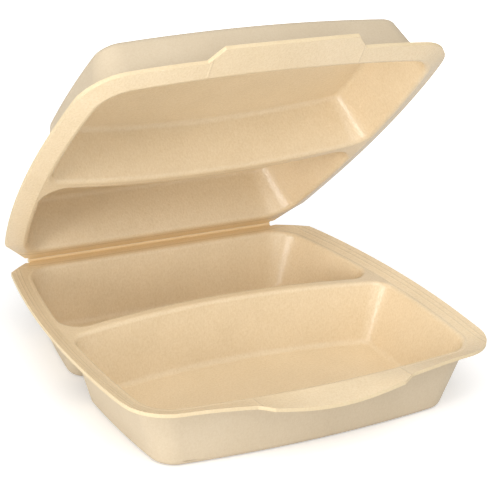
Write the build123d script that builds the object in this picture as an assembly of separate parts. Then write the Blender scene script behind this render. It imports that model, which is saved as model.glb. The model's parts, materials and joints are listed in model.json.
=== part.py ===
from build123d import *
import math
import os

# A two-compartment hinged container, thermoformed from one sheet of foam: a tray, a thin fold line and a lid.
# Both halves are first shaped in one working frame: the fold line is the X axis, the front is at -Y,
# the rim plane is Z = 0 and the compartments rise towards +Z. The tray is that shape turned upside down.

# Rim outline, in plan
rim_hinge_half = 86.0      # half the length of the fold line
corner_cut_across = 14.5   # the cut at each rear corner, measured along the fold line
corner_cut_along = 14.0    # and along the side
rim_front_half = 115.0     # half width at the front corners, before rounding
rim_front_y = 209.0        # fold line to the front corners, before rounding
rim_side_bow = 11.2        # bulge of each side
rim_front_bow = 9.0        # bulge of the front
rim_corner_radius = 27.0

# Flange round the compartments
flange_side = 12.5
flange_front = 12.5
flange_rear = 12.5
rim_rise = 3.5             # how far the cut edge of the flange lies off the rim plane
rise_run = 25.0            # stretch of the sides, from the fold line, over which it gets there
dip_half = 90.0            # half the stretch of the front edge that dips towards the tab
base_tab_level = -2.5      # height of the tray's cut edge at its middle, at the root of the tab
lid_tab_level = 2.4        # height of the lid's cut edge there
base_tab_reach = 5.0       # how far the tray's tab stands out of the front
lid_tab_reach = 9.0
blank_margin = 1.5         # how far the formed sheet runs past the cut edge and the longer tab
tab_tip_half = 42.0        # half the width of the tab at its tip
tab_root_half = 50.0

# Compartments
sheet = 2.2                # thickness of the foam
base_depth = 39.5          # outer depth of the tray below its rim plane
lid_depth = 33.5
side_slope = 0.34          # how far each wall leans in, per unit of depth
front_slope = 0.18
rear_slope = 0.22
divider_slope = 0.22
divider_y = 91.8           # fold line to the front edge of the divider's crest, at the middle
divider_bow = 10.5         # how far the divider bows towards the fold line, over divider_half
divider_half = 95.0
crest_width = 7.5
outer_corner = (18.0, 12.0)    # corner radii away from the divider, at the mouth and at the foot
divider_corner = (12.0, 8.0)   # corner radii beside the divider, at the mouth and at the foot
foot_round_inner = 3.6
foot_round_outer = 4.5
brim_round = 2.6           # rounding of the mouths and of the divider's crest
brim_margin = 0.3          # flat left between that rounding and the flange's slope

# Fold line and closing gap
closed_gap = 0.3           # between the two flanges when the lid is shut
hinge_web = 0.9            # thickness of the pressed fold strip
hinge_web_run = 3.0        # width of the strip on each side of the fold
hinge_groove = 0.2         # how deep the fold is pressed into the inside face
hinge_clearance = 0.15
open_angle = 49.0          # how far the lid stands open

# Working values
rim_rear_half = rim_hinge_half + corner_cut_across
centre_y = -rim_front_y / 2
edge_samples = 9
big = 500.0

# The arcs that bound the plan: the right side, the front and the front edge of the divider's crest
side_middle = ((rim_rear_half + rim_front_half) / 2 + rim_side_bow, centre_y)
side_arc = ThreePointArc((rim_rear_half, 0), side_middle, (rim_front_half, -rim_front_y))
front_arc = ThreePointArc((-rim_front_half, -rim_front_y), (0, -rim_front_y - rim_front_bow),
                          (rim_front_half, -rim_front_y))
divider_arc = ThreePointArc((-divider_half, -divider_y - divider_bow), (0, -divider_y),
                            (divider_half, -divider_y - divider_bow))


def disc(arc, inset, flip=1):
    """The full disc of an arc, drawn in by inset and mirrored across the middle where flip is -1."""
    centre = arc.arc_center
    return Pos(flip * centre.X, centre.Y) * Circle(arc.radius - inset)


def bounded(side_inset, front_inset, rear_inset):
    """The plan area between the two sides, the front and the fold line, each drawn in by its inset."""
    area = disc(side_arc, side_inset) & disc(side_arc, side_inset, flip=-1) & disc(front_arc, front_inset)
    return area & Pos(0, -big / 2 - rear_inset) * Rectangle(big, big)


def rounded(area, front_radius, rear_radius=0.0):
    """A plan face with its two front corners rounded, and its two rear ones where asked."""
    face = area.face()
    face = face.fillet_2d(front_radius, face.vertices().sort_by(Axis.Y)[:2])
    if rear_radius:
        face = face.fillet_2d(rear_radius, face.vertices().sort_by(Axis.Y)[-2:])
    return face


def rim_outline(grow=0.0, grow_front=0.0):
    """The cut edge of the sheet in plan, without the tab, grown outward where asked."""
    outline = bounded(-grow, -grow_front, -grow)
    inner_x = rim_hinge_half + grow
    slope = corner_cut_along / corner_cut_across
    for side in (1, -1):
        corner = Polyline((side * inner_x, grow), (side * (inner_x + big), grow),
                          (side * (inner_x + big), grow - slope * big), close=True)
        outline -= make_face(corner)
    return rounded(outline, rim_corner_radius)


def hull_outline(grow=0.0):
    """The outline that holds both compartments and the divider's crest, grown outward where asked."""
    radius = outer_corner[0] + grow
    return rounded(bounded(flange_side - grow, flange_front - grow, flange_rear - grow), radius, radius)


def section(is_rear, thickness, drop, depth):
    """A compartment's outline at drop below the rim plane, inside the foam or outside its thickness."""
    insets = []
    for start, slope in ((flange_side, side_slope), (flange_front, front_slope),
                         (flange_rear, rear_slope), (0, divider_slope)):
        insets.append(start + slope * drop - thickness * math.hypot(1, slope))
    away, beside = (thickness + top + (foot - top) * drop / depth
                    for top, foot in (outer_corner, divider_corner))
    area = bounded(*insets[:3])
    if is_rear:
        return rounded(area - disc(divider_arc, -crest_width - insets[3]), beside, away)
    return rounded(area & disc(divider_arc, insets[3]), away, beside)


def compartment(is_rear, thickness, start, end, rounding):
    """A compartment as a solid block between two depths, rounded round its foot."""
    mouth, foot = (section(is_rear, thickness, drop, end) for drop in (start, end))
    block = Solid.make_loft([Pos(0, 0, start) * mouth.outer_wire(), Pos(0, 0, end) * foot.outer_wire()],
                            ruled=True)
    return fillet(block.faces().sort_by(Axis.Z)[-1].edges(), radius=rounding)


def ordered_edges(outline):
    """The edges of a plan outline in order round its middle, with the front edge last."""
    def angle(edge):
        middle = edge.position_at(0.5)
        return math.atan2(middle.X + 1, middle.Y - centre_y)
    return sorted(outline.edges(), key=angle)


def edge_height(point, on_front, tab_level):
    """Height of the flange's outer edge over the rim plane."""
    along = min(max(-point.Y / rise_run, 0), 1)
    height = rim_rise * math.sin(along * math.pi / 2)
    if on_front and abs(point.X) < dip_half:
        height += (tab_level - rim_rise) * math.cos(point.X / dip_half * math.pi / 2) ** 2
    return height


def lifted_edge(inner, outer, cut_edge, tab_level, side):
    """The blank's edge over one stretch of its outline, as high as brings the cut edge to its level."""
    steps = [i / (edge_samples - 1) for i in range(edge_samples)]
    near = [inner.position_at(t) for t in steps]
    far = [outer.position_at(t) for t in steps]
    if (far[0] - near[0]).length > (far[-1] - near[0]).length:
        far.reverse()
    on_front = outer.position_at(0.5).Y < -rim_front_y
    points = []
    for start, end in zip(near, far):
        width = (end - start).length
        spread = width / (width - cut_edge.distance_to(end))
        points.append(Vector(end.X, end.Y, side * spread * edge_height(end, on_front, tab_level)))
    return Edge.make_spline(points)


def flange_sheet(tab_level, side):
    """The flange, ruled between the hull's edge and a wavy blank edge. side is 1 for the lid, -1 for the tray."""
    plate = hull_outline(brim_round + brim_margin)
    blank = rim_outline(grow=blank_margin, grow_front=max(base_tab_reach, lid_tab_reach) + blank_margin)
    cut_edge = rim_outline().outer_wire()
    flange = extrude(plate, amount=sheet)
    for inner, outer in zip(ordered_edges(plate), ordered_edges(blank)):
        surface = Face.make_surface_from_curves(inner, lifted_edge(inner, outer, cut_edge, tab_level, side))
        flange += Solid.extrude(surface, Vector(0, 0, sheet))
    return flange


def tab_outline(tab_reach):
    """The opening tab in plan, rooted inside the rim."""
    front = -rim_front_y - rim_front_bow
    tip_y = front - tab_reach
    sagitta = rim_front_bow * (tab_root_half / rim_front_half) ** 2
    tip = ThreePointArc((-tab_tip_half, tip_y + sagitta), (0, tip_y), (tab_tip_half, tip_y + sagitta))
    sides = []
    for flip in (1, -1):
        sides.append(Line((flip * tab_tip_half, tip_y + sagitta), (flip * tab_root_half, front + sagitta)))
        sides.append(Line((flip * tab_root_half, front + sagitta), (flip * tab_root_half, front + flange_front)))
    root = Line((tab_root_half, front + flange_front), (-tab_root_half, front + flange_front))
    return make_face([tip, root] + sides)


def mouth_cutter(is_rear, depth):
    """The hollow of one compartment, which flares at its mouth into a rounded brim."""
    hollow = compartment(is_rear, 0, 0, depth, foot_round_inner)
    above = Pos(0, 0, -1) * extrude(hull_outline(brim_round + brim_margin / 2), amount=1)
    cutter = hollow + above
    mouth = section(is_rear, 0, 0, depth).outer_wire()
    brim = [edge for edge in cutter.edges() if is_on_mouth(edge.position_at(0.5), mouth)]
    return fillet(brim, radius=brim_round)


def is_on_mouth(point, mouth):
    """Whether a point lies on a mouth's outline in the rim plane."""
    return abs(point.Z) < 0.01 and mouth.distance_to(point) < 0.01


def half_shell(depth, tab_level, tab_reach, side):
    """One half of the container with its compartments rising towards +Z."""
    plan = Sketch() + rim_outline() + tab_outline(tab_reach)
    plan -= Pos(0, big / 2 - hinge_web_run) * Rectangle(big, big)
    trim = Pos(0, 0, -depth / 2) * extrude(plan, amount=depth)
    shell = flange_sheet(tab_level, side) & trim
    for is_rear in (False, True):
        shell += compartment(is_rear, sheet, sheet / 2, depth, foot_round_outer)
    for is_rear in (False, True):
        shell -= mouth_cutter(is_rear, depth - sheet)
    return shell


def hinge_leaf(nose):
    """Half of the pressed fold strip, lying on +Z of the rim plane. The lid's has a round nose on the fold line."""
    axis_z = -closed_gap / 2
    strip_z = hinge_groove + hinge_web / 2
    strip = Pos(0, -hinge_web_run / 2 - 1, strip_z) * Box(2 * rim_hinge_half, hinge_web_run + 2, hinge_web)
    radius = hinge_groove + hinge_web + closed_gap / 2
    turn = Rot(0, 90, 0)
    if nose:
        barrel = Pos(0, 0, axis_z) * turn * Cylinder(radius, 2 * rim_hinge_half)
        return strip + barrel
    socket = Pos(0, 0, axis_z) * turn * Cylinder(radius + hinge_clearance, 2 * rim_hinge_half + 2)
    return strip - socket


def base_tray():
    """The tray, standing on its two feet with the larger one's middle at the origin."""
    shell = half_shell(base_depth, base_tab_level, base_tab_reach, -1) + hinge_leaf(nose=False)
    return Pos(0, fold_y, base_depth) * mirror(shell, about=Plane.XY)


def lid():
    """The lid, shaped shut and then swung open about the fold line."""
    shell = half_shell(lid_depth, lid_tab_level, lid_tab_reach, 1) + hinge_leaf(nose=True)
    shut = Pos(0, 0, closed_gap / 2) * shell
    return Pos(0, fold_y, base_depth + closed_gap / 2) * Rot(-open_angle, 0, 0) * shut


# The larger foot's middle, in plan, is the part's origin
foot_front = rim_front_y + rim_front_bow - flange_front - base_depth * front_slope
foot_rear = divider_y + base_depth * divider_slope
fold_y = (foot_front + foot_rear) / 2

if __name__ == "__main__":
    os.makedirs("parts", exist_ok=True)
    export_step(base_tray(), "parts/base_tray.step")
    export_step(lid(), "parts/lid.step")
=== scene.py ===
import json
import math
import bpy
from mathutils import Matrix, Vector

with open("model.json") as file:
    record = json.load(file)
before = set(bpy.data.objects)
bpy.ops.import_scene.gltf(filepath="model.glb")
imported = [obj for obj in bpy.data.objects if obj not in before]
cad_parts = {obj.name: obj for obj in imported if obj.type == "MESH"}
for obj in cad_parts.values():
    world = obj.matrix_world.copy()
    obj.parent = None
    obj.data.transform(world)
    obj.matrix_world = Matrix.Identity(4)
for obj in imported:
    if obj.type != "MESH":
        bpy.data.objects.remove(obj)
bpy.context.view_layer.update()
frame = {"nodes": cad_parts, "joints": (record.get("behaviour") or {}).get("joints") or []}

# Camera, found by fitting the rims, floors and crests to the photograph
target = Vector((0, 0.04944, 0.0395))
yaw = math.radians(-32.28)
pitch = math.radians(23.17)
roll = math.radians(4.82)
distance = 1.0483
pan_right = -0.01123
pan_up = -0.03265
focal_px = 1771.4
image_width = 500
sensor_width = 36
nearest_seen = 0.01

# The fold line, and the turn about it that shuts the lid
hinge = frame["joints"][0]
fold_line = Vector(hinge["pos_m"])
shut_turn = math.radians(hinge["range_deg"][1])

# Places on the flange are measured in plan from the fold line's middle, with the container shut.
# The right side's cut edge is an arc about this centre, and the left side's is its mirror image
side_centre = Vector((-0.3765, -0.1381))
side_radius = 0.4966

# Two fine beads along each side of the tray's flange, by how far they lie in from the cut edge
beads = (0.0034, 0.0060)
bead_half = 0.0007

# A ridge along the fold line, and painted shade in the band beside the fold, where the valley of the fold
# lies in shade
ridge_back = 0.0088
ridge_half = 0.0013
fold_shade_band = 0.0125
fold_shade_strength = 0.62
fold_shade_tone = (240, 205, 146)

# The crease across the front flange at each end of the tab, from the flange's inner edge outward
crease_across = 0.0480
crease_half = 0.0009
crease_start = -0.2065

# How deep and how strong the beads, ridge and creases are
relief_depth = 0.0004
relief_strength = 0.5

# The three foams: their light and deep tones as shown on a screen from 0 to 255, their
# roughness and specular level, and how strongly the grain and the cells stand out
inner_foam = {
    "light": (237, 218, 186), "deep": (221, 197, 156),
    "roughness": 0.27, "specular": 0.5, "grain": 0.5, "cells": 0.4,
}
# The outer foam's tones are set darker than the inner foam's as painted shade on the outer walls; its
# rougher, duller finish is its own
outer_foam = {
    "light": (214, 198, 172), "deep": (204, 185, 155),
    "roughness": 0.5, "specular": 0.35, "grain": 0.15, "cells": 0.15,
}
edge_foam = {
    "light": (228, 209, 174), "deep": (218, 195, 154),
    "roughness": 0.6, "specular": 0.3, "grain": 0.1, "cells": 0.3,
}

# The scale of each noise, per metre: the foam's cells, a grain drawn out in height, and soft clouds
cell_scale = 850
grain_scale = (1400, 1400, 420)
cloud_scale = 34
cloud_detail = 3

# The stretch of each noise over which one tone gives way to the other
cell_band = (0.32, 0.62)
grain_band = (0.3, 0.7)
cloud_band = (0.35, 0.65)

# How far the clouds dim the foam, how much the cells count against the grain, and how much
# the whole mottle is drawn towards the light tone
cloud_shade = (0.965, 0.96, 0.95, 1)
cell_share = 0.5
light_share = 0.3

# How deep the cells and the grain are
cell_depth = 0.0004
grain_depth = 0.0002

# How near a face's normal is to the rim plane for it to belong to the cut edge
edge_limit = 0.07

# The material slots of each half
inside_slot = 0
outside_slot = 1
edge_slot = 2

# How strongly the surround lights the container, and how bright the camera sees it
surround_light = 0.55
surround_shown = 1.05

# The floor lies just under the feet. Where the camera sees it, it adds a glow that grows with
# the square of the distance from the origin
floor_half = 3.0
floor_level = -0.0003
floor_grey = 0.9
floor_glow = 0.28
floor_glow_growth = 1.2

white = (1, 1, 1, 1)


def linear(colour):
    """A screen colour from 0 to 255 as a linear colour with alpha, by the sRGB formula."""
    parts = []
    for value in colour:
        part = value / 255
        parts.append(part / 12.92 if part <= 0.04045 else ((part + 0.055) / 1.055) ** 2.4)
    return (*parts, 1)


def make_camera():
    """A camera at the photograph's place, turned by yaw, pitch and roll."""
    forward = Vector((-math.sin(yaw) * math.cos(pitch), math.cos(yaw) * math.cos(pitch), -math.sin(pitch)))
    level = Vector((math.cos(yaw), math.sin(yaw), 0))
    upright = level.cross(forward)
    right = math.cos(roll) * level + math.sin(roll) * upright
    up = math.cos(roll) * upright - math.sin(roll) * level
    place = target - distance * forward - pan_right * right - pan_up * up
    data = bpy.data.cameras.new("camera")
    data.sensor_width = sensor_width
    data.lens = focal_px / image_width * sensor_width
    data.clip_start = nearest_seen
    camera = bpy.data.objects.new("camera", data)
    turn = Matrix((right, up, -forward)).transposed().to_4x4()
    camera.matrix_world = Matrix.Translation(place) @ turn
    bpy.context.scene.collection.objects.link(camera)
    bpy.context.scene.camera = camera


def add_area_light(name, place, aim, size, power):
    """A soft white square light at place, pointed at aim, with its power in watts."""
    data = bpy.data.lights.new(name, "AREA")
    data.size = size
    data.energy = power
    light = bpy.data.objects.new(name, data)
    direction = Vector(aim) - Vector(place)
    turn = direction.to_track_quat("-Z", "Y").to_matrix().to_4x4()
    light.matrix_world = Matrix.Translation(place) @ turn
    bpy.context.scene.collection.objects.link(light)


def make_world():
    """A white surround that lights the container less than it shows."""
    world = bpy.data.worlds.new("studio")
    world.use_nodes = True
    tree = world.node_tree
    background = tree.nodes["Background"]
    background.inputs["Color"].default_value = white
    path = tree.nodes.new("ShaderNodeLightPath")
    choose = tree.nodes.new("ShaderNodeMix")
    choose.inputs["A"].default_value = surround_light
    choose.inputs["B"].default_value = surround_shown
    tree.links.new(path.outputs["Is Camera Ray"], choose.inputs["Factor"])
    tree.links.new(choose.outputs["Result"], background.inputs["Strength"])
    bpy.context.scene.world = world


class Nodes:
    """Short calls for building a material's node tree."""

    # A mix node has sockets for every kind of value, and these are the ones for colours
    mix_factor = 0
    mix_first = 6
    mix_second = 7
    mix_result = 2

    def __init__(self, name):
        self.material = bpy.data.materials.new(name)
        self.material.use_nodes = True
        self.tree = self.material.node_tree
        self.shader = self.tree.nodes["Principled BSDF"]

    def add(self, kind, **settings):
        node = self.tree.nodes.new(kind)
        for key, value in settings.items():
            setattr(node, key, value)
        return node

    def link(self, out_socket, in_socket):
        self.tree.links.new(out_socket, in_socket)

    def noise(self, coords, scale, detail=2):
        node = self.add("ShaderNodeTexNoise")
        node.inputs["Scale"].default_value = scale
        node.inputs["Detail"].default_value = detail
        self.link(coords, node.inputs["Vector"])
        return node.outputs["Fac"]

    def stretched(self, coords, scale):
        node = self.add("ShaderNodeMapping")
        node.inputs["Scale"].default_value = scale
        self.link(coords, node.inputs["Vector"])
        return node.outputs["Vector"]

    def calculate(self, operation, *values):
        node = self.add("ShaderNodeMath", operation=operation)
        for value, socket in zip(values, node.inputs):
            if isinstance(value, (int, float)):
                socket.default_value = value
            else:
                self.link(value, socket)
        return node.outputs[0]

    def crest(self, value, place, half):
        """A ridge that is one where value is at place, and falls to zero within half of it."""
        away = self.calculate("ABSOLUTE", self.calculate("SUBTRACT", value, place))
        share = self.calculate("DIVIDE", away, half)
        return self.calculate("MAXIMUM", self.calculate("SUBTRACT", 1.0, share), 0.0)

    def ramp(self, value, band, from_colour, to_colour):
        node = self.add("ShaderNodeValToRGB")
        first, last = node.color_ramp.elements
        first.position, last.position = band
        first.color = from_colour
        last.color = to_colour
        self.link(value, node.inputs["Fac"])
        return node.outputs["Color"]

    def mix(self, factor, first, second, mode="MIX"):
        node = self.add("ShaderNodeMix", data_type="RGBA", blend_type=mode)
        for value, key in ((factor, self.mix_factor), (first, self.mix_first), (second, self.mix_second)):
            if isinstance(value, (int, float, tuple)):
                node.inputs[key].default_value = value
            else:
                self.link(value, node.inputs[key])
        return node.outputs[self.mix_result]

    def bump(self, height, strength, distance, below=None):
        node = self.add("ShaderNodeBump")
        node.inputs["Strength"].default_value = strength
        node.inputs["Distance"].default_value = distance
        self.link(height, node.inputs["Height"])
        if below is not None:
            self.link(below, node.inputs["Normal"])
        return node.outputs["Normal"]


def shut_coords(nodes, turn):
    """Coordinates from the fold line, in the frame where the container is shut."""
    source = nodes.add("ShaderNodeTexCoord").outputs["Object"]
    mapping = nodes.add("ShaderNodeMapping")
    rotation = Matrix.Rotation(turn, 3, "X")
    mapping.inputs["Rotation"].default_value = (turn, 0, 0)
    mapping.inputs["Location"].default_value = -(rotation @ fold_line)
    nodes.link(source, mapping.inputs["Vector"])
    return mapping.outputs["Vector"]


def relief(nodes, x, y, beaded):
    """One on the crest of each crease, ridge and bead of the flange, and zero away from them."""
    sideways = nodes.calculate("ABSOLUTE", x)
    on_front = nodes.calculate("LESS_THAN", y, crease_start)
    total = nodes.calculate("MULTIPLY", on_front, nodes.crest(sideways, crease_across, crease_half))
    total = nodes.calculate("ADD", total, nodes.crest(y, -ridge_back, ridge_half))
    if not beaded:
        return total
    across = nodes.calculate("SUBTRACT", sideways, side_centre.x)
    along = nodes.calculate("SUBTRACT", y, side_centre.y)
    across_squared = nodes.calculate("MULTIPLY", across, across)
    along_squared = nodes.calculate("MULTIPLY", along, along)
    reach = nodes.calculate("SQRT", nodes.calculate("ADD", across_squared, along_squared))
    inset = nodes.calculate("SUBTRACT", side_radius, reach)
    for bead in beads:
        total = nodes.calculate("ADD", total, nodes.crest(inset, bead, bead_half))
    return total


def foam_material(name, foam, turn=0.0, inner=False, beaded=False):
    """Cream foam: a mottle of closed cells under a skin drawn out along the walls.

    The inner side also has painted shade beside the fold and the flange's relief."""
    nodes = Nodes(name)
    light = linear(foam["light"])
    deep = linear(foam["deep"])
    coords = shut_coords(nodes, turn)
    cells = nodes.noise(coords, cell_scale)
    grain = nodes.noise(nodes.stretched(coords, grain_scale), 1)
    clouds = nodes.noise(coords, cloud_scale, cloud_detail)
    fine = nodes.ramp(grain, grain_band, deep, light)
    speckled = nodes.ramp(cells, cell_band, deep, light)
    toned = nodes.mix(light_share, nodes.mix(cell_share, fine, speckled), light)
    colour = nodes.mix(1.0, toned, nodes.ramp(clouds, cloud_band, cloud_shade, white), "MULTIPLY")
    normal = nodes.bump(cells, foam["cells"], cell_depth)
    if inner:
        split = nodes.add("ShaderNodeSeparateXYZ")
        nodes.link(coords, split.inputs[0])
        x = split.outputs["X"]
        y = split.outputs["Y"]
        # Painted shade: in the band beside the fold the inner foam darkens towards the shade tone
        fold_shade = nodes.calculate("MULTIPLY", nodes.crest(y, 0.0, fold_shade_band), fold_shade_strength)
        colour = nodes.mix(fold_shade, colour, linear(fold_shade_tone))
        normal = nodes.bump(relief(nodes, x, y, beaded), relief_strength, relief_depth, normal)
    nodes.link(colour, nodes.shader.inputs["Base Color"])
    nodes.shader.inputs["Roughness"].default_value = foam["roughness"]
    nodes.shader.inputs["Specular IOR Level"].default_value = foam["specular"]
    nodes.link(nodes.bump(grain, foam["grain"], grain_depth, normal), nodes.shader.inputs["Normal"])
    return nodes.material


def dress(node, materials, inward):
    """Gives a half of the container its inner, outer and cut-edge foam by where each face looks."""
    mesh = node.data
    mesh.materials.clear()
    for material in materials:
        mesh.materials.append(material)
    for face in mesh.polygons:
        toward = face.normal.dot(inward)
        if abs(toward) < edge_limit:
            face.material_index = edge_slot
        else:
            face.material_index = inside_slot if toward > 0 else outside_slot


def dress_halves():
    """Dresses the tray and the lid, whose inner sides face each other when the container is shut."""
    # The outside foam carries painted shade in its darker tones
    outside = foam_material("foam_outside", outer_foam)
    cut_edge = foam_material("foam_cut_edge", edge_foam)
    halves = (
        ("base_tray", 0.0, Vector((0, 0, 1)), True),
        ("lid", shut_turn, Vector((0, 0, -1)), False),
    )
    for name, turn, shut_inward, beaded in halves:
        inside = foam_material(name + "_inside", inner_foam, turn, inner=True, beaded=beaded)
        inward = Matrix.Rotation(-turn, 3, "X") @ shut_inward
        dress(frame["nodes"][name], (inside, outside, cut_edge), inward)


def make_floor():
    """A plain white floor under the container."""
    mesh = bpy.data.meshes.new("floor")
    corners = [(x * floor_half, y * floor_half, floor_level) for x, y in ((-1, -1), (1, -1), (1, 1), (-1, 1))]
    mesh.from_pydata(corners, [], [(0, 1, 2, 3)])
    floor = bpy.data.objects.new("floor", mesh)
    bpy.context.scene.collection.objects.link(floor)
    nodes = Nodes("floor_white")
    nodes.shader.inputs["Base Color"].default_value = (floor_grey, floor_grey, floor_grey, 1)
    nodes.shader.inputs["Roughness"].default_value = 1.0
    nodes.shader.inputs["Specular IOR Level"].default_value = 0
    nodes.shader.inputs["Emission Color"].default_value = white
    seen = nodes.add("ShaderNodeLightPath").outputs["Is Camera Ray"]
    away = nodes.add("ShaderNodeVectorMath", operation="LENGTH")
    nodes.link(nodes.add("ShaderNodeTexCoord").outputs["Object"], away.inputs[0])
    reach = away.outputs["Value"]
    spread = nodes.calculate("MULTIPLY", nodes.calculate("MULTIPLY", reach, reach), floor_glow_growth)
    glow = nodes.calculate("MULTIPLY", seen, nodes.calculate("ADD", spread, floor_glow))
    nodes.link(glow, nodes.shader.inputs["Emission Strength"])
    mesh.materials.append(nodes.material)


dress_halves()
make_camera()
make_world()
make_floor()
add_area_light("side", place=(-1.15, -0.38, 0.22), aim=(0, 0.04, 0.08), size=0.35, power=6)
add_area_light("top", place=(-0.35, -0.7, 1.2), aim=(0, 0.04, 0.05), size=1.1, power=10.5)
add_area_light("front", place=(-0.45, -1.25, 0.42), aim=(0, 0.08, 0.1), size=0.5, power=2.4)
bpy.context.scene.view_settings.view_transform = "Standard"
